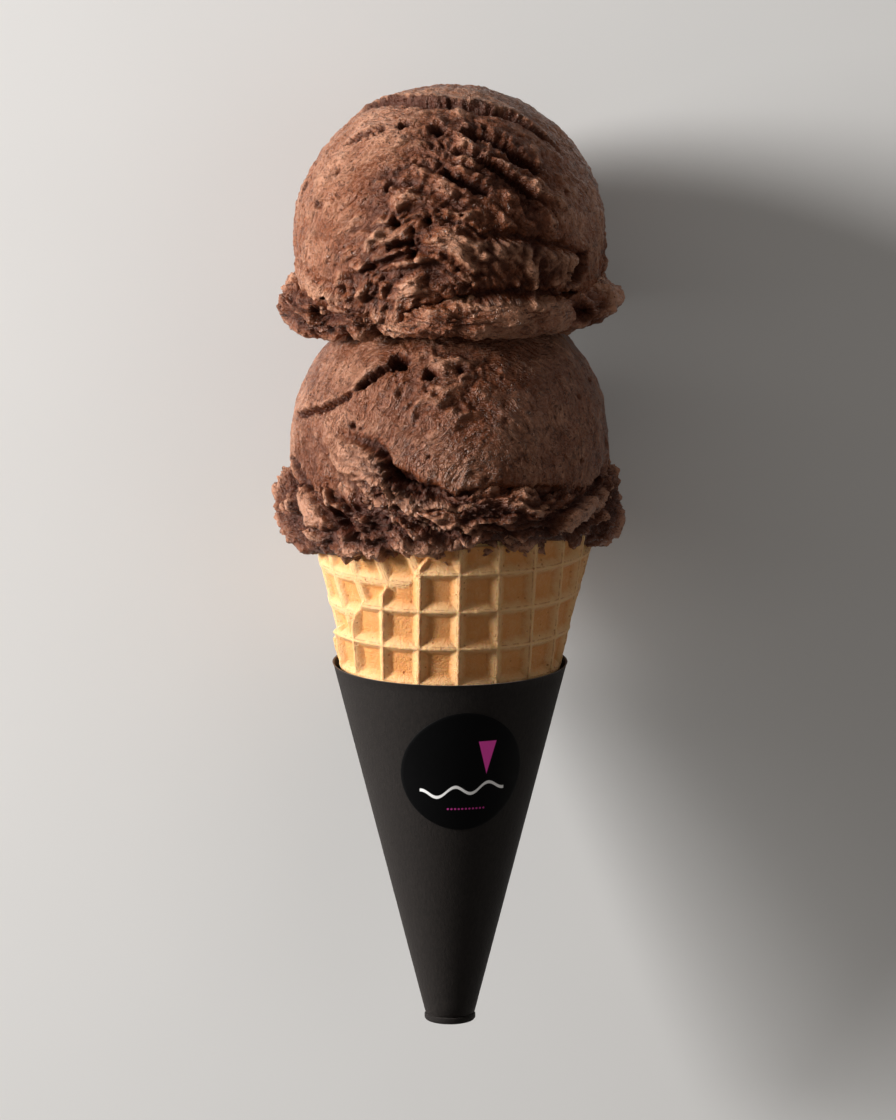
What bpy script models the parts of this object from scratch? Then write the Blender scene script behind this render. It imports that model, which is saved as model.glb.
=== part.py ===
# Ice cream cone lying on its side: two scoops of chocolate ice cream in a rolled waffle cone,
# with a paper sleeve round the cone's lower part, the sleeve's foot and a round label.
#
# Each piece is modelled upright, about its own Z axis, with its front towards -Y. Heights run up
# that axis from the bottom of the foot. An empty then lays the whole thing down: the axis runs
# along +Y from foot to top scoop, the front faces +Z, and the skirts of both scoops rest on
# flats at Z = 0.

import math

import bmesh
import bpy
from mathutils import Vector, noise

# Driving sizes, in millimetres.
MM = 0.001
GAP = 0.3
TURN_STEPS = 48
AXIS_HEIGHT = 34.0

TOP_SCOOP_RADIUS = 31.7
TOP_SCOOP_CENTRE = 159.0
TOP_SKIRT_CENTRE = (27.5, 147.6)
TOP_SKIRT_SIZE = (7.4, 4.9)

LOW_SCOOP_RADIUS = 32.4
LOW_SCOOP_CENTRE = 118.5
LOW_SKIRT_CENTRE = (27.9, 107.5)
LOW_SKIRT_SIZE = (7.5, 8.3)
PRESSED_TOP = 146.0

CONE_RIM_HEIGHT = 104.0
CONE_TIP_HEIGHT = 1.95
CONE_WALL = 2.45
CONE_FLARE = 0.2475
SLEEVE_TOP = 74.1
CONE_RADIUS_AT_SLEEVE = 22.3

GRID_PITCH = 7.95
GRID_ANGLE = math.radians(4.0)
GRID_COLUMNS = 21
FRONT_COLUMNS = 4
RIDGE_WIDTH = 0.55
PIT_WALL = 1.45
PIT_DEPTH = 1.15
ROW_TOPS = (103.4, 97.1, 89.25, 81.4)
ROW_BOTTOMS = (97.1, 89.25, 81.4, 73.55)
LAYER_STEP = 1.05

SLEEVE_RADIUS = 23.68
SLEEVE_FLARE = 0.2546
SLEEVE_WALL = 0.46
SLEEVE_BOTTOM = 1.6
FOOT_RADIUS = 5.15
FOOT_TOP = 1.3

LABEL_HEIGHT = 55.6
LABEL_ANGLE = math.radians(8.3)
LABEL_WIDTH = 24.0
LABEL_LENGTH = 25.2
LABEL_THICKNESS = 0.25

LENGTH = TOP_SCOOP_CENTRE + TOP_SCOOP_RADIUS


def clear_scene():
    for item in list(bpy.data.objects):
        bpy.data.objects.remove(item, do_unlink=True)


def new_collection(name):
    collection = bpy.data.collections.new(name)
    bpy.context.scene.collection.children.link(collection)
    return collection


def material(name, colour, roughness, metallic=0.0):
    surface = bpy.data.materials.new(name)
    surface.use_nodes = True
    shader = surface.node_tree.nodes["Principled BSDF"]
    shader.inputs["Base Color"].default_value = (*colour, 1.0)
    shader.inputs["Roughness"].default_value = roughness
    shader.inputs["Metallic"].default_value = metallic
    return surface


def add_piece(name, mesh, collection, surface=None):
    piece = bpy.data.objects.new(name, mesh)
    collection.objects.link(piece)
    if surface:
        mesh.materials.append(surface)
    return piece


def as_cutter(piece):
    piece.hide_render = True
    piece.display_type = "WIRE"
    return piece


def cut(piece, cutter, operation="DIFFERENCE"):
    step = piece.modifiers.new(operation.title(), "BOOLEAN")
    step.operation = operation
    step.solver = "EXACT"
    step.object = cutter


def baked(piece):
    # Swaps the piece's mesh for the one its modifiers make.
    bpy.context.view_layer.update()
    graph = bpy.context.evaluated_depsgraph_get()
    mesh = bpy.data.meshes.new_from_object(piece.evaluated_get(graph))
    mesh.name = piece.name
    piece.modifiers.clear()
    piece.data = mesh
    return piece


# A turned piece is an outline of (radius, height) points that runs down its outer side.
def turned(name, outline, collection, surface=None, closed=False):
    mesh = bpy.data.meshes.new(name)
    count = len(outline)
    edges = [(i, i + 1) for i in range(count - 1)]
    if closed:
        edges.append((count - 1, 0))
    mesh.from_pydata([(r * MM, 0.0, h * MM) for r, h in outline], edges, [])
    piece = add_piece(name, mesh, collection, surface)
    screw = piece.modifiers.new("Turn", "SCREW")
    screw.axis = "Z"
    screw.angle = math.tau
    screw.steps = TURN_STEPS
    screw.render_steps = TURN_STEPS
    screw.use_merge_vertices = True
    screw.merge_threshold = 0.00001
    return baked(piece)


def arc(centre, size, start, stop, count):
    # Points on an ellipse, with angles in degrees up from the outward direction.
    points = []
    for i in range(count):
        angle = math.radians(start + (stop - start) * i / (count - 1))
        points.append((centre[0] + size[0] * math.cos(angle), centre[1] + size[1] * math.sin(angle)))
    return points


def bump(angle, centre, width):
    # 1 at the centre angle, falling smoothly to 0 at the width on each side; degrees.
    away = abs((math.degrees(angle) - centre + 180.0) % 360.0 - 180.0)
    if away >= width:
        return 0.0
    return 0.5 + 0.5 * math.cos(math.pi * away / width)


def smooth(value, low, high):
    t = min(max((value - low) / (high - low), 0.0), 1.0)
    return t * t * (3.0 - 2.0 * t)


# Scoops: a ball, with the skirt of torn ice cream that the scoop's rim leaves round its foot.

def top_skirt_shift(angle):
    # How far the skirt stands out and hangs down, by angle from the front.
    out = 0.5 * bump(angle, -85.0, 40.0) + 0.3 * bump(angle, 80.0, 34.0)
    out -= 2.2 * bump(angle, -50.0, 24.0) + 1.6 * bump(angle, 52.0, 16.0)
    out -= 1.2 * bump(angle, 140.0, 30.0) + 1.4 * bump(angle, -130.0, 26.0)
    drop = 1.6 * bump(angle, -78.0, 46.0) - 0.8 * bump(angle, 20.0, 60.0)
    return out, drop


def low_skirt_shift(angle):
    out = 0.5 * bump(angle, -82.0, 44.0) + 0.2 * bump(angle, 88.0, 30.0)
    out -= 1.8 * bump(angle, 62.0, 18.0) + 1.0 * bump(angle, -22.0, 30.0)
    out -= 1.4 * bump(angle, 125.0, 24.0) + 1.0 * bump(angle, -150.0, 30.0)
    drop = 2.4 - 5.4 * bump(angle, 16.0, 86.0) - 2.0 * bump(angle, 170.0, 80.0)
    return out, drop


def shape_scoop(piece, skirt_centre, skirt_size, shift, seed):
    top = skirt_centre[1] + skirt_size[1]
    bottom = skirt_centre[1] - skirt_size[1]
    for vertex in piece.data.vertices:
        spot = vertex.co / MM
        radius = math.hypot(spot.x, spot.y)
        if radius < 0.01:
            continue
        angle = math.atan2(spot.x, -spot.y)
        in_skirt = 1.0 - smooth(spot.z, top - 2.0, top + 2.0)
        out, drop = shift(angle)
        coarse = noise.noise(spot / 9.0 + Vector((seed, 0.0, 0.0)))
        fine = noise.noise(spot / 5.0 + Vector((0.0, seed, 0.0)))
        dent = 0.7 * min(coarse, 0.0)
        ragged = out + 1.1 * min(coarse, 0.1) + 0.7 * min(fine, 0.0)
        new_radius = radius + dent * (1.0 - in_skirt) + ragged * in_skirt * smooth(radius, 20.0, 28.0)
        low_end = 1.0 - smooth(spot.z, bottom, skirt_centre[1] + 1.0)
        spot.x *= new_radius / radius
        spot.y *= new_radius / radius
        spot.z -= drop * low_end
        vertex.co = spot * MM


def ball_arc(radius, centre, start, stop, count):
    return arc((0.0, centre), (radius, radius), start, stop, count)


def make_low_scoop(collection, cutters, surface):
    shoulder = math.degrees(math.asin((PRESSED_TOP - LOW_SCOOP_CENTRE) / LOW_SCOOP_RADIUS))
    outline = [(0.0, PRESSED_TOP), (9.0, PRESSED_TOP)]
    outline += ball_arc(LOW_SCOOP_RADIUS, LOW_SCOOP_CENTRE, shoulder, -5.0, 9)
    outline += arc(LOW_SKIRT_CENTRE, LOW_SKIRT_SIZE, 58.0, -90.0, 9)
    foot = LOW_SKIRT_CENTRE[1] - LOW_SKIRT_SIZE[1]
    outline += [(18.0, foot), (0.0, foot)]
    scoop = turned("lower_scoop", outline, collection, surface)
    shape_scoop(scoop, LOW_SKIRT_CENTRE, LOW_SKIRT_SIZE, low_skirt_shift, 3.0)

    # The skirt hangs over the cone's rim, and the ice cream fills the cone down to its tip.
    rim_room = CONE_RIM_HEIGHT + GAP
    below = CONE_RIM_HEIGHT - 20.0
    rim_cutter = turned("rim_room", [
        (0.0, rim_room),
        (cone_radius(rim_room) + GAP, rim_room),
        (cone_radius(below) + GAP, below),
        (0.0, below),
    ], cutters)
    filling_top = CONE_RIM_HEIGHT + 2.0
    filling_tip = 7.2
    filling = turned("filling", [
        (0.0, filling_top),
        (cone_radius(filling_top) - CONE_WALL - GAP, filling_top),
        (cone_radius(filling_tip) - CONE_WALL - GAP, filling_tip),
        (0.0, filling_tip),
    ], cutters)
    cut(scoop, as_cutter(rim_cutter))
    cut(scoop, as_cutter(filling), "UNION")
    return scoop


def make_top_scoop(collection, cutters, surface):
    outline = ball_arc(TOP_SCOOP_RADIUS, TOP_SCOOP_CENTRE, 90.0, -11.0, 12)
    outline[0] = (0.0, outline[0][1])
    outline += arc(TOP_SKIRT_CENTRE, TOP_SKIRT_SIZE, 62.0, -90.0, 8)
    foot = TOP_SKIRT_CENTRE[1] - TOP_SKIRT_SIZE[1]
    outline += [(18.0, foot), (0.0, foot)]
    scoop = turned("upper_scoop", outline, collection, surface)
    shape_scoop(scoop, TOP_SKIRT_CENTRE, TOP_SKIRT_SIZE, top_skirt_shift, 11.0)

    # Its underside is pressed onto the scoop below.
    seat_height = PRESSED_TOP + GAP
    seat_radius = LOW_SCOOP_RADIUS + GAP
    shoulder = math.degrees(math.asin((seat_height - LOW_SCOOP_CENTRE) / seat_radius))
    outline = [(0.0, seat_height)]
    outline += ball_arc(seat_radius, LOW_SCOOP_CENTRE, shoulder, 20.0, 7)
    outline += [(0.0, outline[-1][1])]
    cut(scoop, as_cutter(turned("seat", outline, cutters)))
    return scoop


# Waffle cone: a rolled wafer with a grid of pits, and a step where the roll's outer layer ends.

def cone_radius(height):
    return CONE_RADIUS_AT_SLEEVE + CONE_FLARE * (height - SLEEVE_TOP)


def column_angle(column, height):
    # The ridges run parallel over the front and close up on each other round the back.
    front = GRID_PITCH / cone_radius(height)
    if column <= FRONT_COLUMNS:
        return GRID_ANGLE + column * front
    side = FRONT_COLUMNS * front
    share = (column - FRONT_COLUMNS) / (GRID_COLUMNS - 2 * FRONT_COLUMNS)
    return GRID_ANGLE + side + share * (math.tau - 2.0 * side)


def on_cone(angle, height, depth):
    radius = cone_radius(height) - depth
    return Vector((radius * math.sin(angle), -radius * math.cos(angle), height)) * MM


# The outer layer's edge, as heights at angles in degrees from the front.
LAYER_EDGE = ((-124.0, 72.0), (-68.0, 81.5), (-50.0, 85.0), (-42.0, 89.6),
              (-26.0, 92.4), (-16.5, 94.0), (-13.0, 97.0), (-7.0, 101.0))


def layer_edge(angle):
    degrees = math.degrees(angle)
    for (left, low), (right, high) in zip(LAYER_EDGE, LAYER_EDGE[1:]):
        if left <= degrees <= right:
            return low + (high - low) * (degrees - left) / (right - left)
    return CONE_RIM_HEIGHT + 10.0


def bent_block(mesh, place, cuts=0):
    # A cube whose corners are moved to place(across, up, out), each from 0 to 1.
    older = set(mesh.verts)
    bmesh.ops.create_cube(mesh, size=1.0)
    if cuts:
        corners = [v for v in mesh.verts if v not in older]
        edges = {e for v in corners for e in v.link_edges}
        edges = [e for e in edges if abs(e.verts[0].co.x - e.verts[1].co.x) > 0.5]
        bmesh.ops.subdivide_edges(mesh, edges=edges, cuts=cuts, use_grid_fill=True)
    for vertex in [v for v in mesh.verts if v not in older]:
        vertex.co = place(*(vertex.co + Vector((0.5, 0.5, 0.5))))


def pit_place(column, row):
    low = ROW_BOTTOMS[row]
    high = ROW_TOPS[row]
    lift = 0.45
    inset_floor = 0.5 * RIDGE_WIDTH + PIT_WALL
    inset_mouth = inset_floor - PIT_WALL * (PIT_DEPTH + lift) / PIT_DEPTH
    inset_mouth = max(inset_mouth, 0.06)

    def place(across, up, out):
        inset = inset_floor + (inset_mouth - inset_floor) * out
        height = low + inset + (high - low - 2.0 * inset) * up
        left = column_angle(column, height)
        right = column_angle(column + 1, height)
        margin = inset / cone_radius(height)
        angle = left + margin + (right - left - 2.0 * margin) * across
        depth = PIT_DEPTH - (PIT_DEPTH + lift) * out
        return on_cone(angle, height, depth)

    return place


def pit_in_outer_layer(column, row):
    middle = 0.5 * (ROW_BOTTOMS[row] + ROW_TOPS[row])
    angle = column_angle(column + 0.5, middle)
    angle = (angle + math.pi) % math.tau - math.pi
    near = (column_angle(column, middle), column_angle(column + 1, middle))
    near = [(a + math.pi) % math.tau - math.pi for a in near]
    return all(layer_edge(a) > ROW_TOPS[row] - 0.8 for a in near + [angle])


def make_cone(collection, cutters, surface):
    inner_tip = 6.8
    outline = [
        (0.0, inner_tip),
        (cone_radius(inner_tip) - CONE_WALL, inner_tip),
        (cone_radius(CONE_RIM_HEIGHT) - CONE_WALL, CONE_RIM_HEIGHT),
        (cone_radius(CONE_RIM_HEIGHT), CONE_RIM_HEIGHT),
        (cone_radius(SLEEVE_TOP), SLEEVE_TOP),
        (cone_radius(CONE_TIP_HEIGHT + 1.2), CONE_TIP_HEIGHT + 1.2),
        (cone_radius(CONE_TIP_HEIGHT) - 0.9, CONE_TIP_HEIGHT),
        (0.0, CONE_TIP_HEIGHT),
    ]
    cone = turned("waffle_cone", outline, collection, surface)

    pits = bmesh.new()
    for row in range(len(ROW_TOPS)):
        for column in range(-FRONT_COLUMNS, GRID_COLUMNS - FRONT_COLUMNS):
            if pit_in_outer_layer(column, row):
                bent_block(pits, pit_place(column, row))
    pit_mesh = bpy.data.meshes.new("pits")
    pits.to_mesh(pit_mesh)
    pits.free()

    first = math.radians(LAYER_EDGE[0][0])
    last = math.radians(LAYER_EDGE[-1][0])

    def step_place(across, up, out):
        angle = first + (last - first) * across
        low = layer_edge(min(max(angle, first + 0.001), last - 0.001))
        height = low + (CONE_RIM_HEIGHT + 2.0 - low) * up
        return on_cone(angle, height, LAYER_STEP - (LAYER_STEP + 1.5) * out)

    step = bmesh.new()
    bent_block(step, step_place, cuts=17)
    step_mesh = bpy.data.meshes.new("layer_step")
    step.to_mesh(step_mesh)
    step.free()

    cut(cone, as_cutter(add_piece("pits", pit_mesh, cutters)))
    cut(cone, as_cutter(add_piece("layer_step", step_mesh, cutters)))
    return cone


# Paper sleeve, its foot and the label on its front.

def sleeve_radius(height):
    return SLEEVE_RADIUS + SLEEVE_FLARE * (height - SLEEVE_TOP)


def make_sleeve(collection, surface):
    outline = [
        (sleeve_radius(SLEEVE_TOP), SLEEVE_TOP),
        (sleeve_radius(SLEEVE_BOTTOM), SLEEVE_BOTTOM),
        (sleeve_radius(SLEEVE_BOTTOM) - SLEEVE_WALL, SLEEVE_BOTTOM),
        (sleeve_radius(SLEEVE_TOP) - SLEEVE_WALL, SLEEVE_TOP),
    ]
    return turned("paper_sleeve", outline, collection, surface, closed=True)


def make_foot(collection, surface):
    rounding = 0.6
    outline = [(0.0, FOOT_TOP), (FOOT_RADIUS - 0.2, FOOT_TOP)]
    outline += [(FOOT_RADIUS, FOOT_TOP - 0.2)]
    outline += arc((FOOT_RADIUS - rounding, rounding), (rounding, rounding), 0.0, -90.0, 4)
    outline += [(0.0, 0.0)]
    return turned("sleeve_foot", outline, collection, surface)


def make_label(collection, cutters, surface):
    top = LABEL_HEIGHT + LABEL_LENGTH
    bottom = LABEL_HEIGHT - LABEL_LENGTH
    inner = GAP
    outer = GAP + LABEL_THICKNESS
    outline = [
        (sleeve_radius(top) + outer, top),
        (sleeve_radius(bottom) + outer, bottom),
        (sleeve_radius(bottom) + inner, bottom),
        (sleeve_radius(top) + inner, top),
    ]
    label = turned("round_label", outline, collection, surface, closed=True)

    reach = 30.0
    disc = bmesh.new()
    bmesh.ops.create_cone(disc, cap_ends=True, segments=40, radius1=0.5, radius2=0.5, depth=1.0)
    disc_mesh = bpy.data.meshes.new("label_edge")
    disc.to_mesh(disc_mesh)
    disc.free()
    edge = as_cutter(add_piece("label_edge", disc_mesh, cutters))
    edge.scale = (LABEL_WIDTH * MM, LABEL_LENGTH * MM, reach * MM)
    edge.rotation_euler = (math.radians(90.0), 0.0, LABEL_ANGLE)
    away = 0.5 * reach
    edge.location = Vector((away * math.sin(LABEL_ANGLE), -away * math.cos(LABEL_ANGLE), LABEL_HEIGHT)) * MM
    cut(label, edge, "INTERSECT")
    return label


def lay_down(pieces, cutters):
    # Everything hangs on one empty, which turns the upright cone onto its back.
    axis = bpy.data.objects.new("cone_axis", None)
    bpy.context.scene.collection.objects.link(axis)
    axis.location = (0.0, -0.5 * LENGTH * MM, AXIS_HEIGHT * MM)
    axis.rotation_euler = (math.radians(-90.0), 0.0, 0.0)
    for piece in list(pieces.objects) + list(cutters.objects):
        piece.parent = axis
    return axis


def cut_resting_flats(scoops, cutters):
    # The skirts settle onto small flats where they meet the surface.
    bpy.ops.mesh.primitive_cube_add(size=1.0, location=(0.0, 0.0, -0.01))
    ground = bpy.context.object
    ground.name = "resting_plane"
    ground.scale = (0.2, 0.3, 0.02)
    for owner in list(ground.users_collection):
        owner.objects.unlink(ground)
    cutters.objects.link(ground)
    as_cutter(ground)
    for scoop in scoops:
        cut(scoop, ground)


def shade(piece):
    piece.data.shade_smooth()
    piece.data.set_sharp_from_angle(angle=math.radians(35.0))


def main():
    clear_scene()
    pieces = new_collection("ice_cream_cone")
    cutters = new_collection("cutters")

    chocolate = material("chocolate_ice_cream", (0.155, 0.062, 0.036), 0.5)
    chocolate_low = material("chocolate_ice_cream_low", (0.145, 0.056, 0.032), 0.5)
    wafer = material("wafer", (0.70, 0.42, 0.19), 0.62)
    paper = material("black_paper", (0.022, 0.021, 0.022), 0.75)
    foot_paper = material("black_paper_foot", (0.018, 0.017, 0.018), 0.7)
    film = material("black_label_film", (0.004, 0.004, 0.004), 0.3)

    low_scoop = make_low_scoop(pieces, cutters, chocolate_low)
    top_scoop = make_top_scoop(pieces, cutters, chocolate)
    make_cone(pieces, cutters, wafer)
    make_sleeve(pieces, paper)
    make_foot(pieces, foot_paper)
    make_label(pieces, cutters, film)

    lay_down(pieces, cutters)
    cut_resting_flats([low_scoop, top_scoop], cutters)
    for piece in pieces.objects:
        shade(piece)


main()
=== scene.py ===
import math

import bpy
import numpy as np
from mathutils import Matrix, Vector, kdtree


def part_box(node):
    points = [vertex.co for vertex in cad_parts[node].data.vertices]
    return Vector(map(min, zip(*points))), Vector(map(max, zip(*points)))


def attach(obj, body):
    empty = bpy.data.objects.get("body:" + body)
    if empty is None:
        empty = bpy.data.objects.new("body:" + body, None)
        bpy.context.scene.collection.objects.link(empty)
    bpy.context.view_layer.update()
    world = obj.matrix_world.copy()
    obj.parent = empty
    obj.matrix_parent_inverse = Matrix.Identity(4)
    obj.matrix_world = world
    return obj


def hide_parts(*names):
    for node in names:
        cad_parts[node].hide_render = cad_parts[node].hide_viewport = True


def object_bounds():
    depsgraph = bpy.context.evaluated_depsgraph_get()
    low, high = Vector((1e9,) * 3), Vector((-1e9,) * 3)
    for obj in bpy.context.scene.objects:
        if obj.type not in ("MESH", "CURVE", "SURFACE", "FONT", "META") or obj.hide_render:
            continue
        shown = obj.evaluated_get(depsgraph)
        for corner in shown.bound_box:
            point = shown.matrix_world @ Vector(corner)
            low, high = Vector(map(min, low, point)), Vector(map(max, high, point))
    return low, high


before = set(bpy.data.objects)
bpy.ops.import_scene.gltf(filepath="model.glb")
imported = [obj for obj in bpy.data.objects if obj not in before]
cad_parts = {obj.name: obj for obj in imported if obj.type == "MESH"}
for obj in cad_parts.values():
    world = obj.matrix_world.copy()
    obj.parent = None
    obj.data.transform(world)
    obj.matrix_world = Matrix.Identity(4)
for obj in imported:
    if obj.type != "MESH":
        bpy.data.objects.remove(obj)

# The cone lies along Y, foot at the low end, with its front up. Its pieces are worked out in
# millimetres: a height up the axis from the foot, a radius, and an angle round from the front.
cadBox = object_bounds()
mm = 0.001
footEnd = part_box("sleeve_foot")[0].y
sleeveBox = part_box("paper_sleeve")
axisLevel = 0.5 * (sleeveBox[0].z + sleeveBox[1].z)
sleeveTop = (sleeveBox[1].y - footEnd) / mm
sleeveRadius = 0.5 * (sleeveBox[1].x - sleeveBox[0].x) / mm


def onAxis(radius, angle, height):
    # Arrays in millimetres and radians, to points in metres.
    x = radius * np.sin(angle) * mm
    y = height * mm + footEnd
    z = radius * np.cos(angle) * mm + axisLevel
    return np.stack(np.broadcast_arrays(x, y, z), axis=-1).reshape(-1, 3)


def bump(angle, centre, width):
    away = np.abs((np.degrees(angle) - centre + 180.0) % 360.0 - 180.0)
    return np.where(away < width, 0.5 + 0.5 * np.cos(np.pi * np.minimum(away / width, 1.0)), 0.0)


# Node formulas

class Field:
    # A value in a node tree. A sum or product of fields adds one Math node.
    def __init__(self, tree, socket):
        self.tree = tree
        self.socket = socket

    def calc(self, operation, *others):
        node = self.tree.nodes.new("ShaderNodeMath")
        node.operation = operation
        for value, slot in zip((self,) + others, node.inputs):
            plug(self.tree, value, slot)
        return Field(self.tree, node.outputs[0])

    def __add__(self, other):
        return self.calc("ADD", other)

    def __sub__(self, other):
        return self.calc("SUBTRACT", other)

    def __mul__(self, other):
        return self.calc("MULTIPLY", other)

    def __truediv__(self, other):
        return self.calc("DIVIDE", other)

    def __neg__(self):
        return self.calc("MULTIPLY", -1.0)

    __radd__ = __add__
    __rmul__ = __mul__

    def __rsub__(self, other):
        return (-self) + other

    def smooth(self, low, high):
        # 0 at low, 1 at high, and eased between; low may be the larger.
        node = self.tree.nodes.new("ShaderNodeMapRange")
        node.interpolation_type = "SMOOTHSTEP"
        plug(self.tree, self, node.inputs["Value"])
        plug(self.tree, low, node.inputs["From Min"])
        plug(self.tree, high, node.inputs["From Max"])
        return Field(self.tree, node.outputs["Result"])


def plug(tree, value, slot):
    if isinstance(value, Field):
        tree.links.new(value.socket, slot)
    else:
        slot.default_value = value


def vectorCalc(tree, operation, first, second=None, scale=None):
    node = tree.nodes.new("ShaderNodeVectorMath")
    node.operation = operation
    plug(tree, first, node.inputs[0])
    if second is not None:
        plug(tree, second, node.inputs[1])
    if scale is not None:
        plug(tree, scale, node.inputs["Scale"])
    result = "Value" if operation in ("DOT_PRODUCT", "LENGTH", "DISTANCE") else "Vector"
    return Field(tree, node.outputs[result])


def parts(tree, vector):
    node = tree.nodes.new("ShaderNodeSeparateXYZ")
    plug(tree, vector, node.inputs[0])
    return [Field(tree, out) for out in node.outputs]


def joined(tree, x, y, z):
    node = tree.nodes.new("ShaderNodeCombineXYZ")
    for value, slot in zip((x, y, z), node.inputs):
        plug(tree, value, slot)
    return Field(tree, node.outputs[0])


def withinBox(tree, x, y, z):
    # The position, kept inside the box of the whole part.
    low, high = cadBox
    kept = [value.calc("MAXIMUM", least).calc("MINIMUM", most)
            for value, least, most in zip((x, y, z), low, high)]
    return joined(tree, *kept)


def noise(tree, where, size, detail=2.0, roughness=0.5, distortion=0.0):
    # Centred on 0, about -0.3 to 0.3, with features of the size given.
    node = tree.nodes.new("ShaderNodeTexNoise")
    plug(tree, where, node.inputs["Vector"])
    node.inputs["Scale"].default_value = 1.0 / size
    node.inputs["Detail"].default_value = detail
    node.inputs["Roughness"].default_value = roughness
    node.inputs["Distortion"].default_value = distortion
    return Field(tree, node.outputs[0]) - 0.5


def stirred(tree, where, sizes, strength):
    # The place, moved about by noise.
    x, y, z = [noise(tree, where, size) * strength for size in sizes]
    return vectorCalc(tree, "ADD", where, joined(tree, x, y, z))


def billow(tree, where, size, detail=2.0, roughness=0.5, distortion=0.0):
    # Rounded swells with sharp valleys between them, 0 in the valleys and up to about 1.
    return noise(tree, where, size, detail, roughness, distortion).calc("ABSOLUTE") * 3.6


def cells(tree, where, size):
    # Distance from the nearest cell's middle, in cell sizes, and that cell's random number.
    node = tree.nodes.new("ShaderNodeTexVoronoi")
    plug(tree, where, node.inputs["Vector"])
    node.inputs["Scale"].default_value = 1.0 / size
    shading = tree.bl_idname == "ShaderNodeTree"
    split = tree.nodes.new("ShaderNodeSeparateColor" if shading else "FunctionNodeSeparateColor")
    tree.links.new(node.outputs["Color"], split.inputs[0])
    return Field(tree, node.outputs["Distance"]), Field(tree, split.outputs[0])


def pits(tree, where, size, share, largest):
    # 1 in the middle of round pits: share of the cells have one, of up to the largest radius.
    distance, chance = cells(tree, where, size)
    radius = (chance - (1.0 - share)).calc("MAXIMUM", 0.0) * (largest / size / share) + 0.001
    return distance.smooth(radius, radius * 0.25)


# Geometry Nodes trees, and the meshes that they finish

def geometryTree(name, sizes):
    tree = bpy.data.node_groups.new(name, "GeometryNodeTree")
    tree.is_modifier = True
    tree.interface.new_socket("Geometry", in_out="OUTPUT", socket_type="NodeSocketGeometry")
    tree.interface.new_socket("Geometry", in_out="INPUT", socket_type="NodeSocketGeometry")
    tree.interface.new_socket("Finish", in_out="INPUT", socket_type="NodeSocketMaterial")
    for label in sizes:
        tree.interface.new_socket(label, in_out="INPUT", socket_type="NodeSocketFloat")
    source = tree.nodes.new("NodeGroupInput")
    return tree, source, {label: Field(tree, source.outputs[label]) for label in sizes}


def attribute(tree, name):
    node = tree.nodes.new("GeometryNodeInputNamedAttribute")
    node.data_type = "FLOAT"
    node.inputs["Name"].default_value = name
    return Field(tree, node.outputs["Attribute"])


def keepAttribute(tree, shape, name, value, kind="FLOAT"):
    node = tree.nodes.new("GeometryNodeStoreNamedAttribute")
    node.data_type = kind
    node.domain = "POINT"
    tree.links.new(shape, node.inputs["Geometry"])
    node.inputs["Name"].default_value = name
    plug(tree, value, node.inputs["Value"])
    return node.outputs[0]


def moveTo(tree, shape, position):
    node = tree.nodes.new("GeometryNodeSetPosition")
    tree.links.new(shape, node.inputs["Geometry"])
    plug(tree, position, node.inputs["Position"])
    return node.outputs[0]


def closeTree(tree, source, shape):
    realize = tree.nodes.new("GeometryNodeRealizeInstances")
    finish = tree.nodes.new("GeometryNodeSetMaterial")
    target = tree.nodes.new("NodeGroupOutput")
    tree.links.new(shape, realize.inputs[0])
    tree.links.new(realize.outputs[0], finish.inputs["Geometry"])
    tree.links.new(source.outputs["Finish"], finish.inputs["Material"])
    tree.links.new(finish.outputs[0], target.inputs[0])


def grown(name, base, tree, sizes, finish):
    # The base mesh after the tree has worked on it, as a plain mesh.
    piece = bpy.data.objects.new(name, base)
    bpy.context.scene.collection.objects.link(piece)
    modifier = piece.modifiers.new("Grow", "NODES")
    modifier.node_group = tree
    for item in tree.interface.items_tree:
        if item.in_out == "INPUT" and item.name in sizes:
            modifier[item.identifier] = float(sizes[item.name])
        if item.in_out == "INPUT" and item.name == "Finish":
            modifier[item.identifier] = finish
    bpy.context.view_layer.update()
    graph = bpy.context.evaluated_depsgraph_get()
    mesh = bpy.data.meshes.new_from_object(piece.evaluated_get(graph))
    piece.modifiers.clear()
    piece.data = mesh
    mesh.name = name
    mesh.shade_smooth()
    return piece


def meshFrom(name, points, quads):
    mesh = bpy.data.meshes.new(name)
    mesh.from_pydata(points.tolist(), [], quads.tolist())
    mesh.update()
    return mesh


def addValues(mesh, name, values):
    layer = mesh.attributes.new(name, "FLOAT", "POINT")
    layer.data.foreach_set("value", np.ascontiguousarray(values, dtype=np.float32))


ballDensity = 125


def ballMesh(name, density):
    # A unit ball of even squares, from the six sides of a cube.
    steps = np.tan(np.linspace(-1.0, 1.0, density + 1) * np.pi / 4.0)
    across, along = np.meshgrid(steps, steps, indexing="ij")
    points = []
    quads = []
    index = np.arange((density + 1) ** 2).reshape(density + 1, density + 1)
    corner = np.stack([index[:-1, :-1], index[1:, :-1], index[1:, 1:], index[:-1, 1:]], axis=-1)
    for axis in range(3):
        for side in (-1.0, 1.0):
            face = np.empty(across.shape + (3,))
            face[..., axis] = side
            face[..., (axis + 1) % 3] = across
            face[..., (axis + 2) % 3] = along
            square = corner.reshape(-1, 4) + len(points) * index.size
            points.append(face.reshape(-1, 3))
            quads.append(square if side > 0.0 else square[:, ::-1])
    points = np.concatenate(points)
    points /= np.linalg.norm(points, axis=1)[:, None]
    rounded = np.round(points, 6)
    first, same = np.unique(rounded, axis=0, return_index=True, return_inverse=True)[1:]
    return meshFrom(name, points[first], same.reshape(-1)[np.concatenate(quads)])


def pointsOf(mesh):
    points = np.empty(len(mesh.vertices) * 3)
    mesh.vertices.foreach_get("co", points)
    return points.reshape(-1, 3)


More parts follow.
